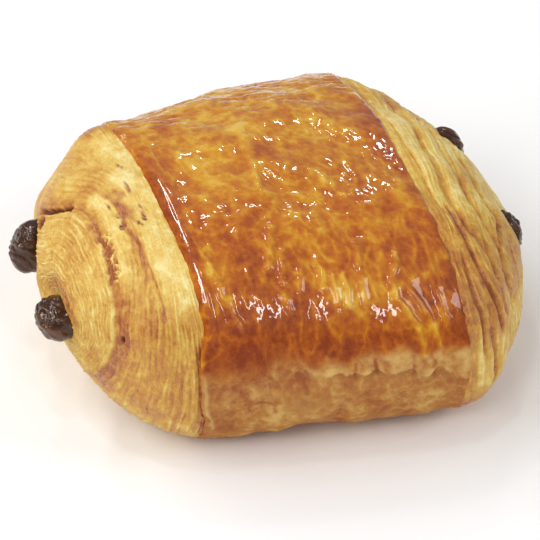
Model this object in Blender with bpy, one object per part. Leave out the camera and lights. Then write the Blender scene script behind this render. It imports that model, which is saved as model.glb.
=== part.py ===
# Mini pain au chocolat: one solid roll of laminated dough with two chocolate batons through it.
# The roll runs along X. Its glazed band lies between a left edge and a right edge, and a rounded
# end of bare layers lies past each edge. Lengths are in millimetres until a mesh is made.
import math

import bmesh
import bpy
import numpy as np

MM = 0.001
OBJECT_NAME = "mini_pain_au_chocolat"

# Cross-section: a rounded loaf shape, widest below its middle, with a flat base
SECTION_POWER = 2.7
WIDEST_SHARE = 0.42
BASE_SHARE = 0.9

# Left edge of the glazed band
LEFT_EDGE_X = -16.1
LEFT_EDGE_LEAN = -0.043
LEFT_HALF_WIDTH = 25.1
LEFT_HEIGHT = 31.3
LEFT_MIDDLE_Y = -0.4

# Right edge of the glazed band
RIGHT_EDGE_X = 19.6
RIGHT_EDGE_LEAN = -0.034
RIGHT_HALF_WIDTH = 30.5
RIGHT_HEIGHT = 28.6
RIGHT_MIDDLE_Y = 0.5
BAND_SWELL = 0.03

# Rounded ends: how far each reaches past its edge, where its tip lies and how blunt it is
LEFT_END_REACH = 15.8
LEFT_TIP_Y = 1.85
LEFT_TIP_Z = 16.9
LEFT_BLUNTNESS = 1.7
RIGHT_END_REACH = 17.4
RIGHT_TIP_Y = -2.55
RIGHT_TIP_Z = 12.0
RIGHT_BLUNTNESS = 1.64

# Relief of the dough, as heights above the plain roll
BAND_LIP = 0.3
BAND_LIP_WIDTH = 1.2
INNER_ROLL_RISE = 0.4
INNER_ROLL_SLOPE = 4.0
SEAM_DEPTH = 0.7
SLIT_DEPTH = 0.9
SEAM_HALF_WIDTH = 1.2
CREASE_DEPTH = 0.5
LEFT_LAYER_RISE = 0.16
LEFT_LAYER_PITCH = 4.0
RIGHT_END_LENGTH = 26.0
RIGHT_LAYER_RISE = 0.32
RIGHT_LAYER_PITCH = 4.0
RIGHT_LAYER_SPREAD = 0.25
RIGHT_LAYER_WIDEST_ANGLE = 150.0
RIGHT_LAYER_WANDER = 0.5
FOLD_RISE = 0.2
FOLD_PITCHES = (6.3, 9.7)
FOLD_DRIFT = 0.8
FRONT_TUCK = 0.9
FRONT_TUCK_ANGLE = 192.0
FRONT_TUCK_SPREAD = 22.0
RELIEF_FADE_HEIGHT = 3.0

# Where each form shows: it grows between the first two values and fades between the last two
SEAM_ANGLES = (5.0, 20.0, 200.0, 240.0)
SLIT_ANGLES = (5.0, 20.0, 55.0, 75.0)
CREASE_ANGLES = (50.0, 68.0, 130.0, 150.0)
FRONT_FOLD_ANGLES = (135.0, 165.0, 240.0, 260.0)
BACK_FOLD_ANGLES = (-80.0, -60.0, 10.0, 40.0)
LEFT_LAYER_GIRTHS = (-0.1, 0.0, 0.8, 0.95)
RIGHT_LAYER_GIRTHS = (0.1, 0.35, 1.1, 1.2)

# Slow waves over the whole roll: rise, then two factors as turns per mm along x, y, z and a start
SLOW_WAVES = (
    (0.25, (0.31, 0.12, 0.0, 1.0), (0.0, 0.27, -0.18, 0.4)),
    (0.15, (0.21, 0.52, 0.0, 2.1), (0.44, 0.0, -0.2, 0.0)),
)

# Swells and hollows that make the roll uneven: middle x, y and z, radius and height
SWELLS = (
    (-18.5, 16.5, 28.5, 4.5, 1.2),
    (-24.0, 18.0, 23.0, 5.0, -0.9),
    (-27.3, 16.3, 17.0, 4.0, 0.6),
    (-31.5, 0.0, 16.0, 4.0, -0.7),
    (-31.0, -3.0, 18.0, 3.5, -1.4),
    (-28.8, -11.0, 12.0, 4.5, -0.4),
    (-29.2, -6.0, 9.0, 4.0, -0.3),
    (-26.0, -15.5, 9.5, 4.0, 0.5),
    (-21.0, -22.0, 8.0, 6.0, -0.2),
    (-11.0, 16.5, 29.5, 7.0, -0.55),
    (-7.5, 22.5, 26.5, 4.5, -0.35),
    (2.8, 24.5, 25.5, 3.5, 0.4),
    (9.0, 20.5, 28.0, 9.0, -0.35),
    (14.5, 25.5, 24.5, 5.0, 0.25),
    (22.0, 17.0, 27.0, 6.0, -0.8),
    (26.5, 12.0, 25.5, 5.0, -0.7),
    (28.5, 18.0, 21.0, 4.0, -0.3),
    (35.0, 2.0, 18.0, 4.5, -0.35),
    (34.5, -13.5, 13.0, 5.0, -0.2),
    (31.5, -20.5, 14.5, 5.0, -0.7),
    (27.0, -27.0, 11.0, 5.0, 0.4),
    (0.0, -25.0, 4.0, 6.0, -0.25),
    (0.3, -25.0, 4.0, 2.8, -0.5),
)

# Spiral of the left end, wound round the front baton: angle in degrees and distance from its middle
SPIRAL_Y = -6.0
SPIRAL_Z = 16.0
INNER_SEAM = ((15, 18.0), (55, 14.0), (90, 12.0), (150, 12.2), (183, 10.3), (210, 9.6), (250, 9.0))
OUTER_CREASE = ((60, 15.6), (95, 13.9), (135, 15.4))
FOLLOW_BLEND = 12.0
NORMAL_STEP = 0.002

# Mesh density of the dough
AROUND = 72
LEFT_END_RINGS = 20
BAND_RINGS = 14
RIGHT_END_RINGS = 26

# Batons: section, rounded tips and the places of both tip ends
BATON_AROUND = 20
BATON_RINGS = 24
BATON_TIP_RINGS = 7
BATON_TIP_LENGTH = 3.2
BATON_TIP_BLUNTNESS = 2.15
BATON_SECTION_POWER = 2.4
BATON_LUMPS = 0.04
BATON_LUMP_TWIST = 0.35
BATON_CLEARANCE = 0.3
PIT_STARTS = 0.15
PIT_FULL = 0.45
FRONT_BATON = {
    "name": "chocolate_baton_front",
    "left_tip": (-33.8, -6.0, 15.6),
    "right_tip": (36.6, -6.8, 16.0),
    "width": 7.0,
    "thickness": 5.0,
    "turn": 0.1,
    "slant": 0.0,
    "left_pit": 0.6,
    "right_pit": 0.3,
    "pit_radius": 4.2,
}
BACK_BATON = {
    "name": "chocolate_baton_back",
    "left_tip": (-33.5, 8.6, 16.9),
    "right_tip": (33.6, 9.6, 19.0),
    "width": 5.8,
    "thickness": 7.4,
    "turn": -0.15,
    "slant": 0.3,
    "left_pit": 2.4,
    "right_pit": 0.8,
    "pit_radius": 4.6,
}

# Finishes
DOUGH_COLOUR = (0.68, 0.36, 0.08, 1.0)
DOUGH_ROUGHNESS = 0.4
CHOCOLATE_COLOUR = (0.045, 0.018, 0.010, 1.0)
CHOCOLATE_ROUGHNESS = 0.35


def clear_scene():
    for item in list(bpy.data.objects):
        bpy.data.objects.remove(item, do_unlink=True)


def new_collection(name):
    collection = bpy.data.collections.new(name)
    bpy.context.scene.collection.children.link(collection)
    return collection


def new_material(name, colour, roughness):
    material = bpy.data.materials.new(name)
    material.use_nodes = True
    shader = material.node_tree.nodes["Principled BSDF"]
    shader.inputs["Base Color"].default_value = colour
    shader.inputs["Roughness"].default_value = roughness
    shader.inputs["Metallic"].default_value = 0.0
    return material


def signed_power(value, exponent):
    return np.sign(value) * np.abs(value) ** exponent


def smooth_step(value, low, high):
    share = np.clip((value - low) / (high - low), 0.0, 1.0)
    return share * share * (3.0 - 2.0 * share)


def bump(value, half_width):
    return np.exp(-(value / half_width) ** 2)


def window(value, limits):
    """1 between the two middle limits, falling smoothly to 0 at the outer two."""
    grow_from, grow_to, fade_from, fade_to = limits
    return smooth_step(value, grow_from, grow_to) * (1.0 - smooth_step(value, fade_from, fade_to))


def section(angle, half_width, height, middle_y):
    """y and z on a cross-section, from the back at angle 0 over the top to the front."""
    across = signed_power(np.cos(angle), 2.0 / SECTION_POWER)
    up = signed_power(np.sin(angle), 2.0 / SECTION_POWER)
    widest = WIDEST_SHARE * height
    above = widest + (height - widest) * up
    below = widest + widest / BASE_SHARE * up
    z = np.where(up > 0.0, above, np.maximum(below, 0.0))
    return middle_y + half_width * across, z


def edge_share(way_out, bluntness):
    """Share of the edge's girth that is left, and of the reach that is covered, towards a tip."""
    turn = 0.5 * math.pi * (1.0 - way_out)
    girth = np.clip(np.sin(turn), 0.0, 1.0) ** (2.0 / bluntness)
    reach = np.clip(np.cos(turn), 0.0, 1.0) ** (2.0 / bluntness)
    return girth, reach


def plain_roll(station, angle):
    """Point on the roll without relief: station -1 left tip, 0 and 1 the edges, 2 right tip."""
    left_y, left_z = section(angle, LEFT_HALF_WIDTH, LEFT_HEIGHT, LEFT_MIDDLE_Y)
    right_y, right_z = section(angle, RIGHT_HALF_WIDTH, RIGHT_HEIGHT, RIGHT_MIDDLE_Y)
    left_x = LEFT_EDGE_X + LEFT_EDGE_LEAN * (left_y - LEFT_MIDDLE_Y)
    right_x = RIGHT_EDGE_X + RIGHT_EDGE_LEAN * (right_y - RIGHT_MIDDLE_Y)
    share = np.clip(station, 0.0, 1.0)
    swell = 1.0 + BAND_SWELL * 4.0 * share * (1.0 - share)
    x = left_x + (right_x - left_x) * share
    y = (left_y + (right_y - left_y) * share) * swell
    z = (left_z + (right_z - left_z) * share) * swell

    left_out = np.clip(-station, 0.0, 1.0)
    girth, reach = edge_share(left_out, LEFT_BLUNTNESS)
    x = x + (LEFT_EDGE_X - LEFT_END_REACH - x) * reach
    y = LEFT_TIP_Y + (y - LEFT_TIP_Y) * girth
    z = LEFT_TIP_Z + (z - LEFT_TIP_Z) * girth

    right_out = np.clip(station - 1.0, 0.0, 1.0)
    girth, reach = edge_share(right_out, RIGHT_BLUNTNESS)
    x = x + (RIGHT_EDGE_X + RIGHT_END_REACH - x) * reach
    y = RIGHT_TIP_Y + (y - RIGHT_TIP_Y) * girth
    z = RIGHT_TIP_Z + (z - RIGHT_TIP_Z) * girth
    return np.stack([x, y, z], axis=-1)


def outward_normal(station, angle):
    """Outward direction of the plain roll, from two short steps along its surface."""
    step = NORMAL_STEP
    safe = np.clip(station, -1.0 + 2.0 * step, 2.0 - 2.0 * step)
    along = plain_roll(safe + step, angle) - plain_roll(safe - step, angle)
    around = plain_roll(safe, angle + step) - plain_roll(safe, angle - step)
    normal = np.cross(around, along)
    length = np.linalg.norm(normal, axis=-1, keepdims=True)
    return normal / np.maximum(length, 1e-9)


def follow(points, degrees):
    """Distance along a short list of angles and distances, with its corners rounded."""
    angles = [point[0] for point in points]
    distances = [point[1] for point in points]
    steps = np.linspace(-FOLLOW_BLEND, FOLLOW_BLEND, 5)
    return sum(np.interp(degrees + step, angles, distances) for step in steps) / len(steps)


def left_end_relief(point, girth):
    """Spiral of the left end: the inner roll stands out inside its seam, with a crease beyond."""
    across = point[..., 1] - SPIRAL_Y
    up = point[..., 2] - SPIRAL_Z
    degrees = np.degrees(np.arctan2(up, across)) % 360.0
    distance = np.hypot(across, up)
    seam = distance - follow(INNER_SEAM, degrees)
    seam_shows = window(degrees, SEAM_ANGLES)
    rise = INNER_ROLL_RISE * smooth_step(-seam, 0.0, INNER_ROLL_SLOPE) * seam_shows
    depth = SEAM_DEPTH * seam_shows + SLIT_DEPTH * window(degrees, SLIT_ANGLES)
    groove = depth * bump(seam, SEAM_HALF_WIDTH)
    crease = distance - follow(OUTER_CREASE, degrees)
    fold = CREASE_DEPTH * bump(crease, SEAM_HALF_WIDTH) * window(degrees, CREASE_ANGLES)
    layers = LEFT_LAYER_RISE * np.sin(2.0 * math.pi * seam / LEFT_LAYER_PITCH)
    return rise - groove - fold + layers * window(girth, LEFT_LAYER_GIRTHS)


def right_end_relief(girth, degrees):
    """Long layer ridges that run round the right end side by side."""
    spread = 1.0 + RIGHT_LAYER_SPREAD * np.cos(np.radians(degrees - RIGHT_LAYER_WIDEST_ANGLE))
    out = (1.0 - girth) * RIGHT_END_LENGTH * spread
    wander = RIGHT_LAYER_WANDER * np.sin(np.radians(3.0 * degrees))
    wave = np.sin(2.0 * math.pi * (out + wander) / RIGHT_LAYER_PITCH)
    return RIGHT_LAYER_RISE * wave * window(girth, RIGHT_LAYER_GIRTHS)


def band_relief(station, degrees, point):
    """The glazed crust stands a little proud, and folds run down its front and back."""
    inside = np.minimum(station, 1.0 - station) * (RIGHT_EDGE_X - LEFT_EDGE_X)
    lip = BAND_LIP * smooth_step(inside, -BAND_LIP_WIDTH, BAND_LIP_WIDTH)
    signed_degrees = (degrees + 90.0) % 360.0 - 90.0
    low = window(degrees, FRONT_FOLD_ANGLES) + window(signed_degrees, BACK_FOLD_ANGLES)
    along = point[..., 0] + FOLD_DRIFT * np.sin(point[..., 2] / 3.0)
    folds = sum(np.sin(2.0 * math.pi * along / pitch) for pitch in FOLD_PITCHES)
    tuck = FRONT_TUCK * bump(degrees - FRONT_TUCK_ANGLE, FRONT_TUCK_SPREAD)
    within = smooth_step(inside, 0.0, 2.0 * BAND_LIP_WIDTH)
    return lip + (FOLD_RISE * folds * low - tuck) * within


def uneven(point):
    """Slow rise and fall over the whole roll, with its swells and hollows."""
    height = np.zeros(point.shape[:-1])
    for rise, first, second in SLOW_WAVES:
        first_wave = np.sin(point @ np.array(first[:3]) + first[3])
        second_wave = np.sin(point @ np.array(second[:3]) + second[3])
        height = height + rise * first_wave * second_wave
    for middle_x, middle_y, middle_z, radius, rise in SWELLS:
        middle = np.array([middle_x, middle_y, middle_z])
        distance = np.linalg.norm(point - middle, axis=-1)
        height = height + rise * bump(distance, radius)
    return height


def baton_pits(station, point):
    """Hollows of the ends where the batons come out."""
    at_left = smooth_step(-station, PIT_STARTS, PIT_FULL)
    at_right = smooth_step(station - 1.0, PIT_STARTS, PIT_FULL)
    height = np.zeros(point.shape[:-1])
    for baton in (FRONT_BATON, BACK_BATON):
        left = np.array(baton["left_tip"])
        right = np.array(baton["right_tip"])
        line = (point[..., 0] - left[0]) / (right[0] - left[0])
        off_y = point[..., 1] - left[1] - (right[1] - left[1]) * line
        off_z = point[..., 2] - left[2] - (right[2] - left[2]) * line
        depth = baton["left_pit"] * at_left + baton["right_pit"] * at_right
        height = height - depth * bump(np.hypot(off_y, off_z), baton["pit_radius"])
    return height


def dough_surface(station, angle):
    """Point on the finished roll."""
    point = plain_roll(station, angle)
    degrees = np.degrees(angle) % 360.0
    left_girth = edge_share(np.clip(-station, 0.0, 1.0), LEFT_BLUNTNESS)[0]
    right_girth = edge_share(np.clip(station - 1.0, 0.0, 1.0), RIGHT_BLUNTNESS)[0]
    height = band_relief(station, degrees, point) + uneven(point) + baton_pits(station, point)
    height = height + np.where(station < 0.0, left_end_relief(point, left_girth), 0.0)
    height = height + np.where(station > 1.0, right_end_relief(right_girth, degrees), 0.0)
    height = height * smooth_step(point[..., 2], 0.0, RELIEF_FADE_HEIGHT)
    point = point + outward_normal(station, angle) * height[..., None]
    point[..., 2] = np.maximum(point[..., 2], 0.0)
    return point


def dough_station(along):
    """Station of a ring, from its share of all rings counted from the left tip."""
    ring = along * (LEFT_END_RINGS + BAND_RINGS + RIGHT_END_RINGS)
    in_left = ring / LEFT_END_RINGS - 1.0
    in_band = (ring - LEFT_END_RINGS) / BAND_RINGS
    in_right = 1.0 + (ring - LEFT_END_RINGS - BAND_RINGS) / RIGHT_END_RINGS
    return np.where(in_left < 0.0, in_left, np.where(in_band < 1.0, in_band, in_right))


def baton_surface(baton, along, angle, grow):
    """Point on a baton: a rounded bar between its two tips, grown all round by a clearance."""
    ring = along * BATON_RINGS
    left_way = np.clip(1.0 - ring / BATON_TIP_RINGS, 0.0, 1.0)
    right_way = np.clip(1.0 - (BATON_RINGS - ring) / BATON_TIP_RINGS, 0.0, 1.0)
    left_girth, left_reach = edge_share(left_way, BATON_TIP_BLUNTNESS)
    right_girth, right_reach = edge_share(right_way, BATON_TIP_BLUNTNESS)
    middle_share = (ring - BATON_TIP_RINGS) / (BATON_RINGS - 2.0 * BATON_TIP_RINGS)
    middle_share = np.clip(middle_share, 0.0, 1.0)

    left = np.array(baton["left_tip"])
    right = np.array(baton["right_tip"])
    tip = BATON_TIP_LENGTH + grow
    start = left[0] - grow + tip
    end = right[0] + grow - tip
    x = start + (end - start) * middle_share - tip * left_reach + tip * right_reach
    line = (x - left[0]) / (right[0] - left[0])
    middle_y = left[1] + (right[1] - left[1]) * line
    middle_z = left[2] + (right[2] - left[2]) * line

    girth = left_girth * right_girth
    lumps = 1.0 + BATON_LUMPS * np.sin(3.0 * angle + BATON_LUMP_TWIST * x)
    across = signed_power(np.cos(angle), 2.0 / BATON_SECTION_POWER) * girth * lumps
    up = signed_power(np.sin(angle), 2.0 / BATON_SECTION_POWER) * girth * lumps
    across = across * (0.5 * baton["width"] + grow)
    up = up * (0.5 * baton["thickness"] + grow)
    x = x + baton["slant"] * up * left_way
    cos_turn = math.cos(baton["turn"])
    sin_turn = math.sin(baton["turn"])
    y = middle_y + across * cos_turn - up * sin_turn
    z = middle_z + across * sin_turn + up * cos_turn
    return np.stack([x, y, z], axis=-1)


def wrapped_sphere(name, around, rings, surface):
    """Object from a sphere whose poles lie along X, with each vertex moved onto a surface."""
    mesh = bpy.data.meshes.new(name)
    shape = bmesh.new()
    bmesh.ops.create_uvsphere(shape, u_segments=around, v_segments=rings, radius=1.0)
    start = np.array([vertex.co[:] for vertex in shape.verts])
    along = 1.0 - np.arccos(np.clip(start[:, 2], -1.0, 1.0)) / math.pi
    angle = np.arctan2(start[:, 1], start[:, 0])
    place = surface(along, angle) * MM
    for vertex, co in zip(shape.verts, place):
        vertex.co = co
    bmesh.ops.recalc_face_normals(shape, faces=shape.faces)
    bmesh.ops.triangulate(shape, faces=shape.faces)
    shape.to_mesh(mesh)
    shape.free()
    mesh.shade_smooth()
    return bpy.data.objects.new(name, mesh)


def make_dough(collection):
    def surface(along, angle):
        return dough_surface(dough_station(along), angle)

    rings = LEFT_END_RINGS + BAND_RINGS + RIGHT_END_RINGS
    dough = wrapped_sphere("dough", AROUND, rings, surface)
    dough.data.materials.append(new_material("baked_dough", DOUGH_COLOUR, DOUGH_ROUGHNESS))
    collection.objects.link(dough)
    return dough


def make_baton(collection, baton, material):
    def surface(along, angle):
        return baton_surface(baton, along, angle, 0.0)

    bar = wrapped_sphere(baton["name"], BATON_AROUND, BATON_RINGS, surface)
    bar.data.materials.append(material)
    collection.objects.link(bar)
    return bar


def cut_tunnel(collection, dough, baton):
    """Clear the baton's way through the dough with a cutter a little larger than the baton."""
    def surface(along, angle):
        return baton_surface(baton, along, angle, BATON_CLEARANCE)

    cutter = wrapped_sphere(baton["name"] + "_tunnel", BATON_AROUND, BATON_RINGS, surface)
    cutter.hide_render = True
    cutter.display_type = "WIRE"
    collection.objects.link(cutter)
    cut = dough.modifiers.new(cutter.name, "BOOLEAN")
    cut.operation = "DIFFERENCE"
    cut.solver = "EXACT"
    cut.object = cutter
    return cutter


def centre_on_base(holder, pieces, followers):
    """Parent everything to the holder and put the middle of the base at the origin."""
    corners = [vertex.co for piece in pieces for vertex in piece.data.vertices]
    middle_x = 0.5 * (min(co.x for co in corners) + max(co.x for co in corners))
    middle_y = 0.5 * (min(co.y for co in corners) + max(co.y for co in corners))
    for item in pieces + followers:
        item.parent = holder
    holder.location = (-middle_x, -middle_y, 0.0)


def main():
    clear_scene()
    parts = new_collection(OBJECT_NAME)
    cutters = new_collection("cutters")
    holder = bpy.data.objects.new("roll_frame", None)
    parts.objects.link(holder)
    chocolate = new_material("dark_chocolate", CHOCOLATE_COLOUR, CHOCOLATE_ROUGHNESS)
    dough = make_dough(parts)
    batons = [FRONT_BATON, BACK_BATON]
    bars = [make_baton(parts, baton, chocolate) for baton in batons]
    tunnels = [cut_tunnel(cutters, dough, baton) for baton in batons]
    centre_on_base(holder, [dough] + bars, tunnels)
    bpy.context.view_layer.update()


main()
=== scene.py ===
# Looks of the mini pain au chocolat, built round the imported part.
# The dough is shown as three closed pieces: the glazed band and the two layered ends under its rims.
# Lengths are in millimetres until a mesh is made.
import math
from collections import namedtuple
from functools import partial
from itertools import product

import bmesh
import bpy
import numpy as np
from mathutils import Matrix, Vector


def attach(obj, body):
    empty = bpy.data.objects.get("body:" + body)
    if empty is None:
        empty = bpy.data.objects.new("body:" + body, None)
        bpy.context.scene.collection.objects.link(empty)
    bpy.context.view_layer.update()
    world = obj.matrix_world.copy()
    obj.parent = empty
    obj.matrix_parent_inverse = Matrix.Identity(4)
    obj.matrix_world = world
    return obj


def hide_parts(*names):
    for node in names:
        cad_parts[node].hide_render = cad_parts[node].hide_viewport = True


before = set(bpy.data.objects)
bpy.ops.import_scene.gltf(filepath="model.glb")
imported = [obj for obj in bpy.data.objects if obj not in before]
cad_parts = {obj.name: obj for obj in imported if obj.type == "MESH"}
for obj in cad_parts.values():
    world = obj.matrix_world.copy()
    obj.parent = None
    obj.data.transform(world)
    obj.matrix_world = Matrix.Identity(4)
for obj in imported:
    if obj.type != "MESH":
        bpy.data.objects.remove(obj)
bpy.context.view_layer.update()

MM = 0.001

# Place of the part's origin, the middle of its base, on the roll as it is drawn here
ORIGIN_SHIFT = (-1.6561, -0.5262, 0)

# Cross-section: a rounded loaf shape, widest below its middle, with a flat base
SECTION_POWER = 2.7
WIDEST_SHARE = 0.42
BASE_SHARE = 0.9

# Both edges of the glazed band, and the rounded end past each: its reach, its tip and how blunt it is
Side = namedtuple("Side", "edge_x lean half_width height middle_y reach tip_y tip_z bluntness")
LEFT = Side(
    edge_x=-16.1, lean=-0.043, half_width=25.1, height=31.3, middle_y=-0.4,
    reach=-15.8, tip_y=1.85, tip_z=16.9, bluntness=1.7,
)
RIGHT = Side(
    edge_x=19.6, lean=-0.034, half_width=30.5, height=28.6, middle_y=0.5,
    reach=17.4, tip_y=-2.55, tip_z=12, bluntness=1.64,
)
BAND_SWELL = 0.03
BAND_LENGTH = RIGHT.edge_x - LEFT.edge_x

# Slow waves over the whole roll: rise, then two factors as radians per mm along x, y and z and a start
SLOW_WAVES = (
    (0.25, (0.31, 0.12, 0, 1), (0, 0.27, -0.18, 0.4)),
    (0.15, (0.21, 0.52, 0, 2.1), (0.44, 0, -0.2, 0)),
)

# Swells and hollows that make the roll uneven: middle x, y and z, radius and height
SWELLS = (
    (-18.5, 16.5, 28.5, 4.5, 1.2), (-24, 18, 23, 5, -0.9), (-27.3, 16.3, 17, 4, 0.6),
    (-31.5, 0, 16, 4, -0.7), (-31, -3, 18, 3.5, -1.4), (-28.8, -11, 12, 4.5, -0.4),
    (-29.2, -6, 9, 4, -0.3), (-26, -15.5, 9.5, 4, 0.5), (-21, -22, 8, 6, -0.2),
    (-11, 16.5, 29.5, 7, -0.55), (-7.5, 22.5, 26.5, 4.5, -0.35), (2.8, 24.5, 25.5, 3.5, 0.4),
    (9, 20.5, 28, 9, -0.35), (14.5, 25.5, 24.5, 5, 0.25), (22, 17, 27, 6, -0.8),
    (26.5, 12, 25.5, 5, -0.7), (28.5, 18, 21, 4, -0.3), (35, 2, 18, 4.5, -0.35),
    (34.5, -13.5, 13, 5, -0.2), (31.5, -20.5, 14.5, 5, -0.7), (27, -27, 11, 5, 0.4),
    (0, -25, 4, 6, -0.25), (0.3, -25, 4, 2.8, -0.8), (30.5, -21, 15, 1.6, -0.35),
    (31.5, -17.5, 17, 1.5, 0.2),
)
RELIEF_FADE_HEIGHT = 3
ROLL_NORMAL_STEP = 0.002

# Spiral of the left end, wound round the front baton: angle in degrees and distance from its middle
SPIRAL_Y = -6
SPIRAL_Z = 16
INNER_SEAM = (
    (0, 17.4), (15, 18), (21, 17), (28, 15.6), (37, 14.3), (44, 14), (54, 14.1), (67, 13.1), (88, 12.1),
    (110, 11.9), (135, 12.4), (150, 12.3), (166, 11.8), (183, 10.5), (208, 9.5), (250, 9), (300, 11),
    (360, 17.4),
)
OUTER_CREASE = ((55, 16), (63, 15.4), (72, 14.9), (82, 14.2), (95, 13.9), (104, 14.1), (123, 15), (140, 15.4))
FOLLOW_BLEND = 5
FOLLOW_STEPS = 5

# Where each form shows: it grows between the first two values and fades between the last two
SLIT_ANGLES = (20, 27, 49, 53)
SEAM_ANGLES = (45, 62, 236, 252)
CREASE_ANGLES = (56, 68, 128, 142)

# Batons: section, rounded tips and the places of both tip ends
BATON_TIP_LENGTH = 3.2
BATON_TIP_BLUNTNESS = 2.15
BATON_TIP_SHARE = 7 / 24
BATON_SECTION_POWER = 2.4
BATON_LUMPS = 0.04
BATON_LUMP_TWIST = 0.35
BATON_NORMAL_STEP = 0.001
BATON_FOLD_AXES = ((0.59, 0.17, -0.07), (0.4, -0.12, -0.22), (0.7, -0.08, 0.19))
PIT_STARTS = 0.15
PIT_FULL = 0.45
FRONT_BATON = dict(
    name="front_baton", node="chocolate_baton_front", left_tip=(-33.8, -6, 15.6), right_tip=(36.6, -6.8, 16),
    width=7, thickness=5, turn=0.1, slant=0, left_pit=0.6, right_pit=0.3, pit_radius=4.2, crumbs=0.3, seed=71,
)
BACK_BATON = dict(
    name="back_baton", node="chocolate_baton_back", left_tip=(-33.5, 8.6, 16.9), right_tip=(33.6, 9.6, 19),
    width=5.8, thickness=7.4, turn=-0.15, slant=0.3, left_pit=2.4, right_pit=0.8, pit_radius=4.6, crumbs=0.15,
    seed=83,
)
BATONS = (FRONT_BATON, BACK_BATON)

# Mesh density: points round each piece, rings along it, and the side that gets the finer mesh
BAND_AROUND = 470
BAND_RINGS = 196
END_AROUND = 380
END_RINGS = 242
BATON_AROUND = 110
BATON_RINGS = 200
FINER_SIDE = 0.58
FINER_BY = 0.06

# Camera and picture
CAMERA_TARGET = (1.169, -1.794, 13.284)
CAMERA_AZIMUTH = -17.184
CAMERA_ELEVATION = 38.568
CAMERA_DISTANCE = 597.918
LENS_MM = 285
SENSOR_MM = 36

# Random numbers of the noise: factors that mix a cell's three numbers and a seed into one of 32 bits
CELL_FACTORS = np.array([374761393, 668265263, 1442695041])
SEED_FACTOR = 144665
MIX_FACTOR = 1274126177
WORD = 0xFFFFFFFF
SECOND_DRAW = 977
NOISE_GAIN = 1.7
THREAD_SHARPNESS = 2.4


# Helpers

def oval(angle, power):
    """Across and up on a rounded shape of half width 1, squarer the higher the power."""
    return [np.sign(way) * np.abs(way) ** (2 / power) for way in (np.cos(angle), np.sin(angle))]


def grow(value, low, high):
    """0 up to the low limit and 1 from the high one, smoothly."""
    share = np.clip((value - low) / (high - low), 0, 1)
    return share * share * (3 - 2 * share)


def fade(value, low, high):
    """1 up to the low limit and 0 from the high one, smoothly."""
    return 1 - grow(value, low, high)


def window(value, grow_from, grow_to, fade_from, fade_to):
    """1 between the two middle limits, falling smoothly to 0 at the outer two."""
    return grow(value, grow_from, grow_to) * fade(value, fade_from, fade_to)


def bump(value, half_width):
    return np.exp(-(value / half_width) ** 2)


def soft_spots(spots, point):
    """Sum of soft round spots: coordinates of the middle, radius and strength of each."""
    total = np.zeros(point.shape[:-1])
    for *middle, radius, strength in spots:
        total += strength * bump(np.linalg.norm(point - middle, axis=-1), radius)
    return total


def follow(points, place, blend=FOLLOW_BLEND):
    """Value along a short list of places and values, with its corners rounded."""
    steps = np.linspace(-blend, blend, FOLLOW_STEPS)
    return sum(np.interp(place + step, *zip(*points)) for step in steps) / FOLLOW_STEPS


def lattice(cell, seed):
    """Repeatable random share for each whole-number cell."""
    mixed = (cell @ CELL_FACTORS + seed * SEED_FACTOR) & WORD
    mixed = ((mixed ^ (mixed >> 13)) * MIX_FACTOR) & WORD
    return (mixed ^ (mixed >> 16)) / WORD


def noise(points, seed):
    """Smooth field between about -1 and 1 that is the same on every run."""
    floor = np.floor(points)
    inside = points - floor
    cell = floor.astype(np.int64)
    blend = inside ** 3 * (inside * (inside * 6 - 15) + 10)
    total = np.zeros(points.shape[:-1])
    for corner in product((0, 1), repeat=3):
        share = lattice(cell + corner, seed)
        turn = 2 * math.pi * share
        up = 2 * ((share * SECOND_DRAW) % 1) - 1
        flat = np.sqrt(1 - up * up)
        away = inside - corner
        slope = away[..., 0] * flat * np.cos(turn) + away[..., 1] * flat * np.sin(turn) + away[..., 2] * up
        total += np.prod(np.where(corner, blend, 1 - blend), axis=-1) * slope
    return total * NOISE_GAIN


def fractal(points, size, octaves, seed, form=np.positive, weaken=0.5):
    """Sum of finer and finer noise, the largest of it of the size given, each put through a form."""
    weights = [weaken ** octave for octave in range(octaves)]
    total = sum(
        weight * form(noise(points * (2 ** octave / size), seed + octave))
        for octave, weight in enumerate(weights)
    )
    return total / sum(weights)


def billow(points, size, octaves, seed):
    """Rounded lumps with narrow valleys between them, from 0 to about 1."""
    return fractal(points, size, octaves, seed, np.abs)


def thread(value):
    """Narrow ridge where a noise value crosses 0."""
    return (1 - np.minimum(np.abs(value) * THREAD_SHARPNESS, 1)) ** 2


def threads(points, size, octaves, seed):
    """Narrow raised threads with wide hollows between them, from 0 to about 1."""
    return fractal(points, size, octaves, seed, thread, 0.6)


def outward_normal(surface, along, angle, step):
    """Outward direction of a surface, from two short steps along it and round it."""
    ahead = surface(along + step, angle) - surface(along - step, angle)
    around = surface(along, angle + step) - surface(along, angle - step)
    normal = np.cross(around, ahead)
    return normal / np.maximum(np.linalg.norm(normal, axis=-1, keepdims=True), 1e-9)


# The roll, as the part's source draws it

def edge_section(side, angle):
    """x, y and z on an edge of the band, from the back at angle 0 over the top to the front."""
    across, up = oval(angle, SECTION_POWER)
    widest = WIDEST_SHARE * side.height
    above = widest + (side.height - widest) * up
    below = widest + widest / BASE_SHARE * up
    y = side.middle_y + side.half_width * across
    return side.edge_x + side.lean * (y - side.middle_y), y, np.where(up > 0, above, np.maximum(below, 0))


def edge_share(way_out, bluntness):
    """Share of the reach that is covered, and of the edge's girth that is left, towards a tip."""
    return oval(0.5 * math.pi * (1 - np.clip(way_out, 0, 1)), bluntness)


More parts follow.
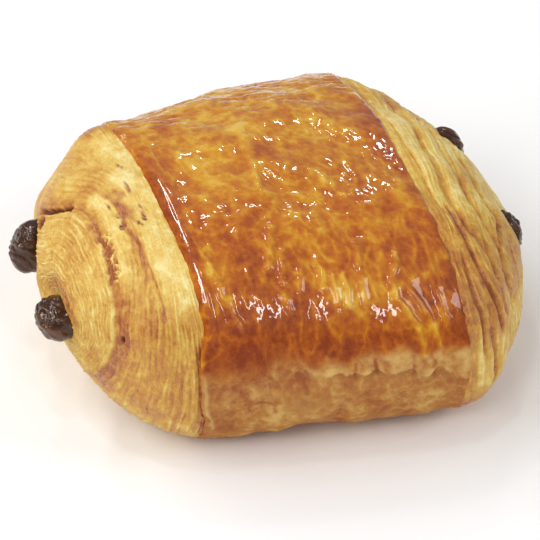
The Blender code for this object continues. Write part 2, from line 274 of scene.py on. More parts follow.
def plain_roll(station, angle):
    """Point on the roll without relief: station -1 left tip, 0 and 1 the edges, 2 right tip."""
    share = np.clip(station, 0, 1)
    swell = 1 + BAND_SWELL * 4 * share * (1 - share)
    edges = zip(edge_section(LEFT, angle), edge_section(RIGHT, angle))
    x, y, z = (left + (right - left) * share for left, right in edges)
    y = y * swell
    z = z * swell
    for side, way_out in ((LEFT, -station), (RIGHT, station - 1)):
        reach, girth = edge_share(way_out, side.bluntness)
        x = x + (side.edge_x + side.reach - x) * reach
        y = side.tip_y + (y - side.tip_y) * girth
        z = side.tip_z + (z - side.tip_z) * girth
    return np.stack([x, y, z], axis=-1)


def uneven(point):
    """Slow rise and fall over the whole roll, with its swells and hollows."""
    height = soft_spots(SWELLS, point)
    for rise, *waves in SLOW_WAVES:
        height += rise * math.prod(np.sin(point @ np.array(wave[:3]) + wave[3]) for wave in waves)
    return height


def baton_line(baton, x):
    """y and z of a baton's middle line at x."""
    (left_x, *left), (right_x, *right) = baton["left_tip"], baton["right_tip"]
    share = (x - left_x) / (right_x - left_x)
    return [start + (end - start) * share for start, end in zip(left, right)]


def baton_offset(baton, point):
    """Distance of a point from a baton's middle line."""
    middle_y, middle_z = baton_line(baton, point[..., 0])
    return np.hypot(point[..., 1] - middle_y, point[..., 2] - middle_z)


def baton_pits(station, point):
    """Depth of the hollows in the ends where the batons come out."""
    at_left = grow(-station, PIT_STARTS, PIT_FULL)
    at_right = grow(station - 1, PIT_STARTS, PIT_FULL)
    depth = 0
    for baton in BATONS:
        deepest = baton["left_pit"] * at_left + baton["right_pit"] * at_right
        depth = depth + deepest * bump(baton_offset(baton, point), baton["pit_radius"])
    return depth


# Glazed band

# Its rims curl in: height above the plain roll and station of the rings there
BAND_LIP = 0.3
RIM_SAG = (-1.1, -0.75, -0.35, -0.05, 0.12, 0.22)
RIM_REACH = (0.02, 0.006, -0.004, -0.008, -0.006, 0)
MM_PER_DEGREE = 0.45

# Bead along the left rim: its height and its distance from the rim, by degrees, and how far it calms the skin
BEAD_RISE = (
    (92, 0.33), (96, 0.29), (100, 0.275), (104, 0.3), (108, 0.34), (112, 0.4), (116, 0.41), (120, 0.37),
    (124, 0.34),
)
BEAD_PLACE = ((75, 1.7), (94, 1.7), (112, 1.35), (135, 1.3), (165, 1.2))
BEAD_WIDTH = 0.7
BEAD_CALM = 1.5

# Degrees at which the glaze ends, by share along the band at the front
FRONT_GLAZE_LIMIT = (
    (0, 172.5), (0.12, 173.5), (0.2, 173), (0.25, 169.5), (0.3, 168), (0.36, 169.5), (0.46, 172),
    (0.53, 172), (0.6, 169), (0.68, 168), (0.75, 168), (0.83, 171), (0.93, 169.5), (1, 170),
)
BACK_GLAZE_LIMIT = 8

# Raised streaks of the glaze and of the dough below it: half width, height, then share and degrees along each
STREAKS = (
    (1, 0.26, ((0.46, 78), (0.43, 88))),
    (0.55, 0.28, ((0.43, 88), (0.41, 92), (0.395, 96))),
    (0.55, 0.28, ((0.37, 112), (0.33, 121), (0.31, 128))),
    (0.5, 0.28, ((0.08, 122), (0.1, 140), (0.15, 153))),
    (0.45, 0.22, ((0.06, 113), (0.1, 131))), (0.5, 0.25, ((0.37, 122), (0.34, 135))),
    (0.5, 0.25, ((0.32, 141), (0.34, 148))), (0.45, 0.22, ((0.42, 129), (0.39, 139))),
    (0.5, 0.22, ((0.49, 130), (0.49, 139))), (0.5, 0.25, ((0.54, 134), (0.53, 146))),
    (0.5, 0.22, ((0.66, 122), (0.63, 146))), (0.4, 0.24, ((0.58, 133), (0.57, 148))),
    (0.45, 0.32, ((0.8, 127), (0.75, 138), (0.75, 146), (0.78, 151), (0.81, 158), (0.82, 165), (0.83, 171))),
    (0.45, 0.28, ((0.81, 143), (0.86, 154), (0.88, 164), (0.89, 172))),
    (0.45, 0.2, ((0.9, 140), (0.93, 158))), (0.4, 0.2, ((0.26, 162), (0.25, 175))),
    (0.4, 0.25, ((0.33, 158), (0.35, 170), (0.41, 176), (0.45, 176.5), (0.5, 175))),
    (0.3, 0.35, ((0.012, 160), (0, 165), (0.004, 172), (0.008, 179), (0.01, 185), (0.02, 192), (0.03, 198))),
)

# Creases of the bare front, browned with painted shade, in the same way
CREASES = (
    (0.25, 1, ((0.555, 178), (0.56, 172.5))), (0.25, 1, ((0.645, 177), (0.64, 171))),
    (0.25, 0.8, ((0.785, 178), (0.79, 171))), (0.25, 0.8, ((0.865, 179), (0.86, 170))),
    (0.22, 1, ((0.15, 184.5), (0.2, 184), (0.26, 186.5))), (0.2, 0.8, ((0.165, 183), (0.155, 189))),
    (0.2, 0.7, ((0.26, 184), (0.262, 192))), (0.4, 0.8, ((0.335, 175), (0.345, 177))),
    (0.35, 0.8, ((0.365, 178), (0.375, 181))),
)

# Larger blisters of the glaze: share, degrees, radius and height
BLISTERS = (
    (0.41, 99, 1, 0.2), (0.54, 100, 0.9, 0.18), (0.58, 86, 0.9, 0.15), (0.49, 134, 1.1, 0.2),
    (0.53, 139, 1, 0.2), (0.24, 96, 0.8, 0.15), (0.66, 96, 0.9, 0.15),
)
BLISTER_SEED = 5
SMALL_BLISTERS = 330

# Patches of the glaze: share, degrees, radius and change of tone, browner above 0
PATCHES = (
    (0.14, 166, 6, 0.16), (0.18, 165, 3.5, 0.3), (0.1, 150, 6, 0.12), (0.51, 165, 3.2, 0.28),
    (0.71, 162, 3.2, 0.28), (0.92, 154, 3.5, 0.2), (0.25, 146, 4.5, 0.1), (0.03, 100, 3, 0.25),
    (0.04, 118, 3, 0.22), (0.08, 90, 3.5, 0.24), (0.12, 65, 3, 0.14), (0.35, 60, 9, -0.12),
    (0.28, 72, 5, 0.06), (0.36, 87, 3, 0.14), (0.42, 78, 4, -0.12), (0.22, 90, 4, -0.1),
    (0.53, 107, 5, 0.1), (0.69, 96, 4.5, 0.18), (0.84, 92, 3.5, -0.1), (0.88, 112, 3.5, 0.1),
    (0.62, 128, 4, 0.12), (0.47, 128, 5, 0.12), (0.77, 144, 3.5, 0.16), (0.95, 85, 3.5, 0.25),
    (0.95, 118, 3, 0.22), (0.95, 138, 3, 0.12), (0.2, 113, 6, 0.18), (0.36, 108, 4.5, 0.12),
    (0.27, 129, 5.5, 0.38), (0.82, 128, 5, 0.16), (0.79, 135, 3, 0.12), (0.79, 105, 2.8, 0.12),
    (0.86, 156, 2.5, -0.32), (0.25, 86, 2.2, -0.16), (0.45, 79, 2.2, -0.2), (0.49, 88, 1.6, 0.22),
    (0.58, 141, 2.6, -0.26), (0.69, 145, 2.4, -0.24), (0.88, 134, 2.2, -0.14), (0.07, 161, 2.2, -0.16),
    (0.005, 147, 0.9, -0.5), (0.008, 152, 0.9, -0.5), (0.01, 157, 0.9, -0.5),
)

# Lower edge of the pale flap of dough that hangs down the front, as share and degrees
FLAP_EDGE = (
    (0, 165), (0.35, 170), (0.41, 176), (0.45, 176.5), (0.5, 175.5), (0.53, 178), (0.555, 176.3),
    (0.58, 176.5), (0.6, 177.6), (0.63, 176.4), (0.645, 175), (0.675, 177.8), (0.71, 177.4), (0.745, 177.3),
    (0.78, 175.2), (0.8, 178.8), (0.835, 180.4), (0.865, 178), (0.885, 175.8), (0.91, 178.8), (0.95, 179.6),
    (1, 180.4),
)

# Upper edge of the pale dough, as share and degrees
PALE_LINE = (
    (0.36, 176), (0.5, 175.5), (0.57, 175), (0.61, 173), (0.65, 169), (0.75, 169), (0.82, 172), (0.92, 169),
    (1, 170),
)

# Paler spots of the bare front: share, degrees, radius and strength, darker below 0
PALE_SPOTS = (
    (0.2, 180, 1.6, 1), (0.19, 187, 1.4, 0.7), (0.08, 184, 1.6, 0.6), (0.37, 187, 2.4, -0.9),
    (0.47, 190, 1.5, 0.4), (0.52, 190, 1.6, 0.7), (0.7, 188, 1.4, 0.5), (0.86, 190, 1.6, 0.5),
)


def left_rim_shift(degrees):
    """How far the band's left rim lies to the right of the edge, in mm."""
    return 0.55 * window(degrees, 62, 80, 150, 162) - 0.5 * window(degrees, 160, 168, 180, 192)


def right_rim_shift(degrees):
    """How far the band's right rim lies to the right of the edge, in mm."""
    return 0.65 * window(degrees, 56, 64, 80, 94)


def band_plane(share, degrees):
    """The band laid flat: mm along the roll and mm round it, counted from under the roll."""
    return BAND_LENGTH * share, MM_PER_DEGREE * ((degrees + 90) % 360)


def flat_points(along, round_it):
    """Points of the band laid flat, to take noise at."""
    return np.stack([along, round_it, np.zeros(along.shape)], axis=-1)


def line_field(lines, along, round_it):
    """Highest of many soft lines: half width, strength, then share and degrees along each."""
    highest = np.zeros(along.shape)
    for half_width, strength, places in lines:
        ways = [band_plane(*place) for place in places]
        for (start_x, start_y), (end_x, end_y) in zip(ways, ways[1:]):
            run_x, run_y = end_x - start_x, end_y - start_y
            off_x, off_y = along - start_x, round_it - start_y
            way = np.clip((off_x * run_x + off_y * run_y) / (run_x ** 2 + run_y ** 2), 0, 1)
            distance = np.hypot(off_x - way * run_x, off_y - way * run_y)
            highest = np.maximum(highest, strength * bump(distance, half_width))
    return highest


def spot_field(spots, along, round_it):
    """Sum of soft round spots: share, degrees, radius and strength of each."""
    placed = [(*band_plane(share, degrees), *size) for share, degrees, *size in spots]
    return soft_spots(placed, np.stack([along, round_it], axis=-1))


def small_blisters(along, round_it):
    """Many small round blisters, thickest over the top of the band."""
    random = np.random.default_rng(BLISTER_SEED)
    height = np.zeros(along.shape)
    for _ in range(SMALL_BLISTERS):
        middle_x = random.uniform(0.5, BAND_LENGTH - 0.5)
        middle_y = MM_PER_DEGREE * (90 + random.normal(92, 34))
        radius = random.uniform(0.3, 0.95)
        rise = random.uniform(0.06, 0.17) * radius
        stretch = random.uniform(0.8, 1.8)
        reach = 2.5 * radius
        near = (np.abs(along - middle_x) < reach) & (np.abs(round_it - middle_y) < reach * stretch)
        distance = np.hypot(along[near] - middle_x, (round_it[near] - middle_y) / stretch)
        height[near] = np.maximum(height[near], rise * bump(distance, radius))
    return height


def band_shape(share, degrees, point):
    """Height of the band above the plain roll, and its masks."""
    along, round_it = band_plane(share, degrees)
    inside = np.minimum(share, 1 - share) * BAND_LENGTH
    signed_degrees = (degrees + 90) % 360 - 90

    warp = 1.6 * fractal(point, 6, 2, 11)
    small_warp = 0.5 * fractal(point, 1.8, 3, 13)
    top = window(degrees, 20, 45, 125, 150)
    front = window(degrees, 95, 130, 205, 230)
    lower_front = window(degrees, 112, 128, 240, 270)
    back = window(signed_degrees, -45, -20, 30, 60)
    crest = window(degrees, 10, 35, 62, 78)
    bead_shows = window(degrees, 72, 90, 150, 168)
    bead_offset = along - np.interp(degrees, *zip(*BEAD_PLACE))
    bead = bump(bead_offset, np.where(bead_offset < 0, BEAD_WIDTH, 2 * BEAD_WIDTH)) * bead_shows
    at_bead = np.exp(-(bead_offset / BEAD_CALM) ** 4) * bead_shows

    # Bubbly skin: raised threads round shallow hollows, drawn out downwards on the front and back
    network = threads(point + 0.4 * small_warp[..., None], 3, 3, 17)
    runs = threads(flat_points((along + 0.8 * warp) / 2.2, round_it / 7), 1, 2, 31)
    skin = network * (top + 0.3 * (1 - top)) + 0.3 * runs * (front + back) * (1 - 0.5 * top)
    fine = fractal(point, 0.9, 3, 23)
    soft_runs = noise(flat_points((along + warp) / 3.2, round_it / 16), 37)
    wrinkles = 1 - np.abs(noise(flat_points(along / 8, (round_it + warp) / 1.3), 41)) * 2.2
    streaks = line_field(STREAKS, along + 0.3 * warp * fade(degrees, 140, 160) + 0.8 * small_warp, round_it)
    large = spot_field(BLISTERS, along, round_it)
    blisters = small_blisters(along, round_it)

    # Where the glaze ends
    front_limit = np.interp(share, *zip(*FRONT_GLAZE_LIMIT))
    edge_noise = 3.5 * fractal(point, 2.6, 4, 47) + 2 * soft_runs
    blur = 3 + 2.5 * fade(share, 0.25, 0.55)
    below_front = grow(degrees + edge_noise, front_limit - blur, front_limit + blur) * (degrees <= 270)
    below_back = fade(signed_degrees + edge_noise, BACK_GLAZE_LIMIT - 5, BACK_GLAZE_LIMIT + 5)
    below_back = below_back * ((degrees <= 90) | (degrees > 270))
    bare = np.maximum(below_front, below_back)
    glazed = 1 - bare

    # Pale flap under the glaze with its scalloped lower edge, and the tucked side below it
    flap_edge = follow(FLAP_EDGE, share + 0.012 * small_warp, 0.012)
    above = (flap_edge - degrees) * MM_PER_DEGREE + 0.8 * small_warp
    flap_shows = grow(share, 0.38, 0.52)
    flap = grow(above, -0.3, 0.5) * (0.3 + 0.7 * np.exp(-np.maximum(above, 0) / 1.8)) * flap_shows
    flap_rim = bump(above - 0.3, 0.28) * flap_shows
    # A strip of painted shade just under the flap's edge, with a slight dip
    below_flap = window(above, -1.5, -0.5, -0.2, 0.1) * flap_shows
    pale_from = np.interp(share, *zip(*PALE_LINE))
    above_line = grow(degrees + 4 * fractal(point, 2.5, 3, 57), pale_from - 3, pale_from + 3)
    pale_zone = above_line * grow(above, -0.2, 0.4) * grow(share, 0.33, 0.5)
    knobs = np.clip(billow(point, 2.6, 3, 59) * 2, 0, 1)
    creases = line_field(CREASES, along + 1.2 * small_warp, round_it + 0.8 * small_warp)
    tuck = 0.9 * bump(degrees - 192, 15) * grow(inside, 0, 2.4)
    folds = noise(flat_points((along + 0.8 * warp) / 3, round_it / 20), 61)
    rough = threads(point, 2, 3, 63)

    height = 0.26 * fractal(point, 8, 3, 3)
    height += (0.15 * skin * (0.25 + 0.75 * glazed) + 0.02 * fine) * (1 - 0.3 * lower_front * glazed)
    height += 0.22 * soft_runs * (front + 0.5 * back) * glazed + 0.16 * wrinkles * crest
    height += streaks + large + blisters * glazed * (1 - 0.8 * lower_front)
    height *= 1 - 0.95 * at_bead
    height += 0.28 * flap + 0.05 * flap_rim + 0.25 * pale_zone * knobs
    height -= 0.05 * below_flap + 0.16 * creases + tuck
    height += (0.45 * folds + 0.22 * rough) * bare * (front + back) * (1 - 0.5 * pale_zone)
    height += BAND_LIP + follow(BEAD_RISE, degrees, 1) * bead

    # Tone: golden on what stands up, browner in hollows, along both edges and above the lower limit
    tone = 0.55 + 0.22 * fractal(point, 9, 3, 65) + 0.32 * fractal(point, 2.8, 3, 67) - 0.09 * top
    tone -= 0.42 * (network - 0.35) * (1 - 0.6 * lower_front) + 0.42 * (runs - 0.3) * front
    tone -= streaks + large + 1.8 * blisters + 0.05 * fine
    tone += spot_field(PATCHES, along, round_it) + 0.2 * grow(degrees, 125, 160) * (degrees < 270)
    tone += 0.22 * fade(inside, 0.5, 2.6) * window(degrees, 60, 85, 165, 175)
    pale = pale_zone * (0.6 * knobs - 0.12) + (0.6 * flap + 0.4 * flap_rim) * knobs
    # Pale below 0 is painted shade: under the flap's edge and in the creases of the bare front
    pale = np.clip(pale + 2 * streaks * (0.3 + 0.7 * bare), 0, 1) - 0.16 * below_flap - 0.35 * creases * bare
    pale_spots = np.clip(spot_field(PALE_SPOTS, along + small_warp, round_it), -1, 1)
    pale += 0.4 * pale_spots * (0.4 + 1.2 * rough)
    # Browner in the creases of the bare front: painted shade
    low_tone = 0.5 - 0.3 * folds - 0.5 * (rough - 0.3) + 0.4 * fractal(point, 4, 3, 69) + 0.3 * creases
    low_tone += 0.22 * fade(share, 0.3, 0.5) * fade(degrees, 176, 184)

    # The coat is dry low on the front and dull along the left rim, so that only the bead shines there
    dry = 0.8 * window(degrees, 144, 164, 240, 270)
    dull_rim = bead_shows * fade(along, 0.2, 0.7)
    sleek = np.clip(at_bead + 3 * streaks, 0, 1)
    return height, {
        "glaze": glazed,
        "coat": glazed * (1 - dry) * (1 - dull_rim),
        "tone": np.minimum(tone, 0.4 + 0.5 * tone),
        "pale": np.clip(pale, -0.5, 1),
        "low_tone": low_tone,
        "rough": (1 - 0.9 * sleek) * (1 - 0.1 * lower_front),
    }


# Layered ends

LAYER_COUNT_OUTER = 11
LAYER_COUNT_INNER = 20
FLOW_RADIUS = 1.8
FRINGE_PITCH = 0.75
FAR_RIDGE_PITCH = 3

# Stations of the rings under the band's rim, and how deep they lie there
UNDER_RIM = np.array([0.004, 0.01, 0.018, 0.03, 0.045, 0.06])
UNDER_RIM_DEPTH = 0.9

# Darker rings of painted shade round the batons' left tips, in the pits there: distance from each middle line
BACK_RING_RADIUS = 4.6
FRONT_RING_RADIUS = 4.4

# Small hole of the left end, painted dark with shade: middle, radius and how much longer it is than wide
HOLE = (-24.7, -18.2, 19.8)
HOLE_RADIUS = 0.42
HOLE_STRETCH = 0.55

# Crumbly opening above the back baton, painted dark with shade: middle and radius
OPENING = (-29.4, 5.9, 22.8)
OPENING_RADIUS = 1.2

# Dark specks of the left end: degrees and mm from the edge, radius and strength
SPECKS = (
    (82, 2.2, 0.35, 0.7), (83.5, 1.9, 0.3, 0.6), (90, 2.6, 0.4, 0.6), (95, 2.2, 0.35, 0.5),
    (99, 2.4, 0.5, 1), (97, 2.3, 0.35, 0.6), (100.5, 3.4, 0.4, 0.8), (101.5, 3.1, 0.3, 0.6),
    (101, 5.9, 0.45, 1.2), (99.5, 5.4, 0.4, 0.9), (96, 5.7, 0.35, 0.8), (92, 6.1, 0.3, 0.7),
    (104, 9.3, 0.3, 0.6), (98, 9.6, 0.25, 0.5), (183, 0.7, 0.45, 1), (187.5, 0.5, 0.5, 1),
    (176, 0.6, 0.3, 0.6),
)

# Valleys of the right end, browned with painted shade: half width, depth, change of tone, then degrees and mm
# from the edge
RIGHT_VALLEYS = (
    (0.25, 0.22, 0.22, ((84, 2.3), (94, 2.1), (104, 2), (116, 3), (124, 3.6))),
    (0.7, 0.7, 0.34, ((74, 7.4), (85, 6), (93, 5.4), (99, 4.9), (106, 5), (120, 5.4), (127, 7.6))),
    (0.6, 0.6, 0.3, ((78, 10.5), (88, 8.5), (94, 8.8), (104, 8.8), (112, 8.7), (119, 10.3), (132, 12))),
    (0.42, 0.8, 0.6, ((112, 3.4), (119, 3.7), (129, 4.2), (135, 4.6), (144, 5.2), (156, 6.5), (168, 7))),
    (0.38, 0.5, 0.5, ((132, 2.4), (148, 2.2), (155, 2.6), (162, 3.2), (174, 3.1))),
    (0.6, 0.65, 0.35, ((112, 14), (121, 12.8), (138, 11.4), (155, 12.4), (172, 15))),
    (0.45, 0.5, 0.3, ((126, 8), (138, 7.6), (150, 8.2), (162, 8.8), (182, 11.8))),
    (0.5, 0.4, 0.2, ((80, 13.5), (92, 12.2), (104, 12), (114, 13.5))),
    (0.45, 0.55, 0.3, ((158, 4.8), (172, 5), (190, 5.4))),
    (0.4, 0.35, 0.25, ((134, 15.5), (150, 16), (166, 18))),
)
VALLEY_FADE = 7

# Patches of both ends: middle x, y and z, radius and change of tone, browner above 0
END_PATCHES = (
    (-23.5, -19.5, 20, 3.6, 0.26), (-21.5, -21.5, 13, 4.5, 0.12), (-18.5, -24.3, 14.5, 4, 0.05),
    (-21.4, -11.1, 29.1, 2.2, 0.26), (-23, 3.1, 29.2, 2, 0.13), (-20.5, -18, 25, 2.5, 0.08),
    (-26.5, -14.5, 11, 3.5, 0.16), (-29, 6.5, 21, 3, 0.14), (-29, -3.5, 22, 3, 0.14),
    (-23.5, -1.3, 28.7, 2.3, -0.14), (-24.7, -10.1, 27, 1.5, -0.1), (-19.5, 3, 30.5, 3, -0.1),
    (-23.5, 4, 28, 2, 0.12), (24.5, -16.5, 26.2, 2, 0.12), (23.5, -28.6, 13, 4, 0.12),
    (30, -3, 23.6, 3.6, 0.24), (19.5, 11.3, 27.6, 2, 0.14), (24, 10, 26.5, 3.4, -0.22),
    (23.8, -24.9, 22.1, 1.7, 0.2), (19.8, -20.3, 26.4, 1.6, -0.1), (21.7, 1.1, 28.4, 2.4, -0.18),
)


def flow_field(layer, degrees):
    """Coordinates that follow the layers: across them, and round the end as a ring."""
    rounds = np.radians(degrees)
    return np.stack([layer, np.cos(rounds) * FLOW_RADIUS, np.sin(rounds) * FLOW_RADIUS], axis=-1)


def stretched_noise(flow, across, along, seed):
    """Noise drawn out along the layers: how fine it is across them and along them."""
    return noise(flow * np.array([across, along, along]), seed)


def thin_lines(flow, repeat, seed):
    """Narrow raised layer lines, from 0 to about 1, that wander and break off here and there."""
    wander = 0.5 * stretched_noise(flow, 0.2, 1, seed)
    wave = 0.5 + 0.5 * np.cos(2 * math.pi * (flow[..., 0] * repeat + wander))
    return wave ** 4 * np.clip(0.45 + 1.5 * stretched_noise(flow, 0.5, 3.2, seed + 1), 0, 1.1)


def short_streaks(flow, seed):
    """Uneven short streaks along the layers, round 0."""
    return stretched_noise(flow, 0.7, 1.8, seed) + 0.6 * stretched_noise(flow, 1.9, 4, seed + 1)


def speck_field(degrees, from_edge, point):
    """Small ragged dark specks, from 0 up."""
    total = np.zeros(degrees.shape)
    for middle_degrees, middle_edge, radius, strength in SPECKS:
        distance = np.hypot((degrees - middle_degrees) * MM_PER_DEGREE * 0.6, from_edge - middle_edge)
        total = np.maximum(total, strength * fade(distance, 0.4 * radius, radius))
    return total * np.clip(0.75 + 0.9 * noise(point / 0.4, 121), 0, 1)


def left_end_shape(station, degrees, point, from_edge):
    """Height of the left end above the plain roll, and its masks."""
    warp = fractal(point, 8, 2, 101)
    across = point[..., 1] - SPIRAL_Y
    up = point[..., 2] - SPIRAL_Z
    turn = np.degrees(np.arctan2(up, across)) % 360
    distance = np.hypot(across, up) + 0.25 * fractal(point, 4, 2, 105)
    seam_at = follow(INNER_SEAM, turn)
    seam = distance - seam_at
    crease = distance - follow(OUTER_CREASE, turn)
    ragged = 0.4 * fractal(point, 1.2, 3, 113)

    # Lines of the layers: fine in the inner roll, coarser where they fan out below, faint near the edge
    outer = np.maximum(seam, 0)
    layer = outer / (outer + np.maximum(from_edge, 0) + 1e-6) * LAYER_COUNT_OUTER
    layer = np.where(seam < 0, seam / seam_at * LAYER_COUNT_INNER, layer) + 0.5 * warp
    flow = flow_field(layer, turn)
    inner_lines = thin_lines(flow, 1, 103) * grow(-seam, -0.3, 0.6)
    fan_shows = window(turn, 128, 150, 250, 270) * grow(seam, 0.2, 1.4)
    fan_lines = thin_lines(flow, 1, 107) * fan_shows
    faint_lines = thin_lines(flow, 2, 109)
    gaps = thin_lines(flow + 0.3, 1.5, 115)
    streaks = short_streaks(flow, 111)
    strip = fade(from_edge + 0.6 * warp, 3, 5) * window(degrees, 50, 70, 132, 155)
    calm = 1 - 0.6 * strip

    # Folds, slit, hole and flakes
    slit_shows = window(turn, *SLIT_ANGLES)
    slit = fade(np.abs(seam - 0.1 + ragged), 0.2, 0.42) * slit_shows
    slit_lip = window(seam, 0.2, 0.6, 0.9, 1.8) * slit_shows
    seam_shows = window(turn, *SEAM_ANGLES)
    flaked = window(turn, 88, 96, 124, 132)
    step = grow(-seam, -0.2, 1) * np.maximum(seam_shows, slit_shows)
    inner_fold = bump(seam + 0.6 * ragged, 0.22) * seam_shows * (0.5 + 0.5 * flaked)
    flake_band = fade(np.abs(seam - 0.3 + 1.6 * ragged), 0.2, 0.8) * flaked
    red_zone = window(seam + ragged, -0.1, 0.3, 1.1, 2.4) * window(turn, 120, 138, 205, 228)
    rim_line = bump(seam + 0.45 + 0.3 * ragged, 0.24) * window(turn, 84, 96, 190, 215)
    outer_fold = bump(crease + 0.35 * ragged, 0.14) * window(turn, *CREASE_ANGLES)
    crease_flakes = bump(crease - 0.25 + ragged, 0.45) * window(turn, 62, 70, 90, 97)
    third_line = bump(from_edge - 4.5 + 0.4 * ragged, 0.15) * window(degrees, 108, 116, 142, 152)
    between = window(seam, 0.5, 1.1, 1.6, 2.2) * window(turn, 52, 62, 125, 140)
    hole_offset = (point - HOLE) * np.array([1, 1, HOLE_STRETCH])
    hole = fade(np.linalg.norm(hole_offset, axis=-1) + 0.3 * ragged, 0.6 * HOLE_RADIUS, HOLE_RADIUS)
    opening_distance = np.linalg.norm(point - OPENING, axis=-1) + 1.5 * ragged
    opening = fade(opening_distance, 0.4 * OPENING_RADIUS, OPENING_RADIUS)
    low_seam = window(from_edge + 0.8 * ragged, -0.5, 0, 0.7, 1.5) * window(degrees, 156, 166, 205, 215)
    flaky = threads(point, 1, 3, 117)
    flakes = flaky * (flake_band + 0.5 * slit_lip + 0.6 * crease_flakes + 0.5 * opening)
    specks = speck_field(degrees, from_edge, point)

    height = 0.4 * step - 0.8 * slit - 0.22 * inner_fold - 0.12 * outer_fold - 0.1 * third_line
    height += 0.15 * between + 0.1 * rim_line + 0.3 * flakes - hole - 0.8 * opening - 0.06 * specks
    height += 0.14 * inner_lines + 0.2 * fan_lines + calm * (0.07 * faint_lines + 0.04 * streaks - 0.1 * gaps)
    height += 0.25 * fractal(point, 4.5, 3, 127) + 0.04 * fractal(point, 0.8, 2, 131) - 0.2 * low_seam

    # Tone: paler on the lines and ridges, browner near the back; browner along the folds, the seams and round
    # the batons, which is painted shade
    patchy = grow(fractal(point, 1.5, 3, 139), -0.4, 0.4)
    flaked_skin = grow(fractal(point, 1.6, 3, 149), 0.1, 0.4)
    tone = 0.44 + 0.2 * fractal(point, 5, 3, 137) + 0.14 * fractal(point, 1.4, 2, 135)
    tone += soft_spots(END_PATCHES, point) - 0.3 * inner_lines - 0.26 * fan_lines - 0.12 * streaks
    tone += calm * (0.16 * gaps - 0.12 * faint_lines) + 0.1 * fan_shows
    tone -= 0.22 * strip + 0.3 * between + 0.3 * rim_line
    tone -= flaked_skin * (0.06 + 0.14 * strip + 0.1 * between)
    # Browner along the seam, the folds and the low seam: painted shade in these creases
    tone += 0.2 * red_zone * (0.6 + patchy) + 0.22 * bump(seam, 0.9) * seam_shows * patchy
    tone += 0.4 * inner_fold + 0.4 * outer_fold + 0.3 * third_line + 0.45 * crease_flakes * patchy
    tone += flake_band * (0.5 - 1.5 * flaky + 0.5 * noise(point / 0.5, 145))
    tone += 0.5 * low_seam * (1 - 1.2 * flaky) + 0.3 * (slit_lip + opening) * (1 - flaky)
    # Painted shade round the batons, in the pits where they come out
    back_pit_shade = bump(baton_offset(BACK_BATON, point) - BACK_RING_RADIUS, 0.9) * grow(point[..., 2], 16, 19)
    front_pit_shade = bump(baton_offset(FRONT_BATON, point) - FRONT_RING_RADIUS, 1.5) * grow(point[..., 2], 15, 19)
    tone += (0.4 * back_pit_shade + 0.32 * front_pit_shade) * grow(-station, 0.5, 0.62)
    browned = window(degrees, 26, 40, 56, 64) * fade(from_edge + warp, 3, 7)
    tone += 0.5 * browned * (0.7 + 0.6 * fractal(point, 2, 2, 143))
    lined = 1 - 0.7 * np.maximum(strip, between) - 0.4 * fade(turn, 100, 125) * grow(seam, 0, 1)
    # Painted shade in the slit, the hole, the opening, the low seam and the folds, with the real dark specks
    shade_and_specks = np.maximum.reduce([0.8 * slit, hole, 0.75 * opening, 0.14 * low_seam, 0.8 * specks])
    shade_and_specks += 0.15 * inner_fold + 0.3 * crease_flakes * patchy * (1 - flaky)
    return height, {
        "tone": tone,
        "shade_and_specks": np.clip(shade_and_specks, 0, 1),
        "flow": flow,
        "lined": np.maximum(lined, 0.2),
    }


def right_end_shape(station, degrees, point, from_edge):
    """Height of the right end above the plain roll, and its masks."""
    warp = fractal(point, 9, 3, 151)
    wobble = 0.35 * fractal(point, 3, 2, 153)
    spread = 1 + 0.5 * np.minimum(((degrees - 115) / 40) ** 2, 1.6)
    flow = flow_field((from_edge / spread + 0.4 * warp) / FRINGE_PITCH, degrees)
    lines = thin_lines(flow, 1, 157)
    streaks = short_streaks(flow, 159)

    # Traced valleys on the side in view, even ones farther round
    valley = np.zeros(degrees.shape)
    valley_shade = np.zeros(degrees.shape)
    for half_width, depth, change, places in RIGHT_VALLEYS:
        first, last = places[0][0], places[-1][0]
        shows = window(degrees, first - VALLEY_FADE, first, last, last + VALLEY_FADE)
        profile = bump(from_edge - follow(places, degrees) + wobble, half_width) * shows
        profile = profile * (0.8 + 0.5 * noise(point / 3, 161))
        valley = np.maximum(valley, depth * profile)
        valley_shade = np.maximum(valley_shade, change * profile)
    drift = 0.6 * stretched_noise(flow, 0.1, 0.7, 163)
    ridge = np.abs(np.sin(math.pi * (from_edge / spread / FAR_RIDGE_PITCH + drift))) ** 0.6
    far_side = 1 - window(degrees, 62, 80, 190, 210)
    far_valley = (1 - ridge) * far_side * window(from_edge, 0.8, 2.2, 26, 30)
    low = window(degrees, 104, 132, 200, 240)
    lower_rim = window(degrees, 166, 176, 190, 200)
    high = window(degrees, 60, 78, 104, 122)
    pale_ridge = bump(from_edge - 2.3 + wobble, 0.4) * window(degrees, 158, 168, 184, 190)

    height = 0.15 - valley - 0.6 * far_valley + 0.3 * pale_ridge + 0.08 * lines + 0.05 * streaks
    height += 0.3 * fractal(point, 4, 3, 173) + 0.05 * fractal(point, 0.8, 2, 179)

    tone = 0.44 + 0.2 * fractal(point, 5, 3, 181) + 0.2 * fractal(point, 1.3, 2, 183)
    # Browner in the valleys, near and far: painted shade
    tone += soft_spots(END_PATCHES, point) + 1.15 * valley_shade + 0.3 * far_valley
    tone -= 0.35 * pale_ridge + 0.24 * lines + 0.12 * streaks
    # Paler over the top of the ridges, where the light falls: painted light; browner low on the front, paler
    # along the lower rim
    tone += 0.17 * low - 0.24 * lower_rim - 0.16 * high * grow(from_edge, 1, 3)
    tone += 0.16 * fade(from_edge, 0.6, 2.4) * grow(degrees, 96, 112)
    # Painted shade deep in the lower valleys
    shade_and_specks = 0.45 * grow(valley_shade + 0.25 * warp, 0.42, 0.8) * low
    return height, {
        "tone": tone,
        "shade_and_specks": np.clip(shade_and_specks, 0, 1),
        "flow": flow,
        "lined": np.ones(tone.shape),
    }


# Meshes

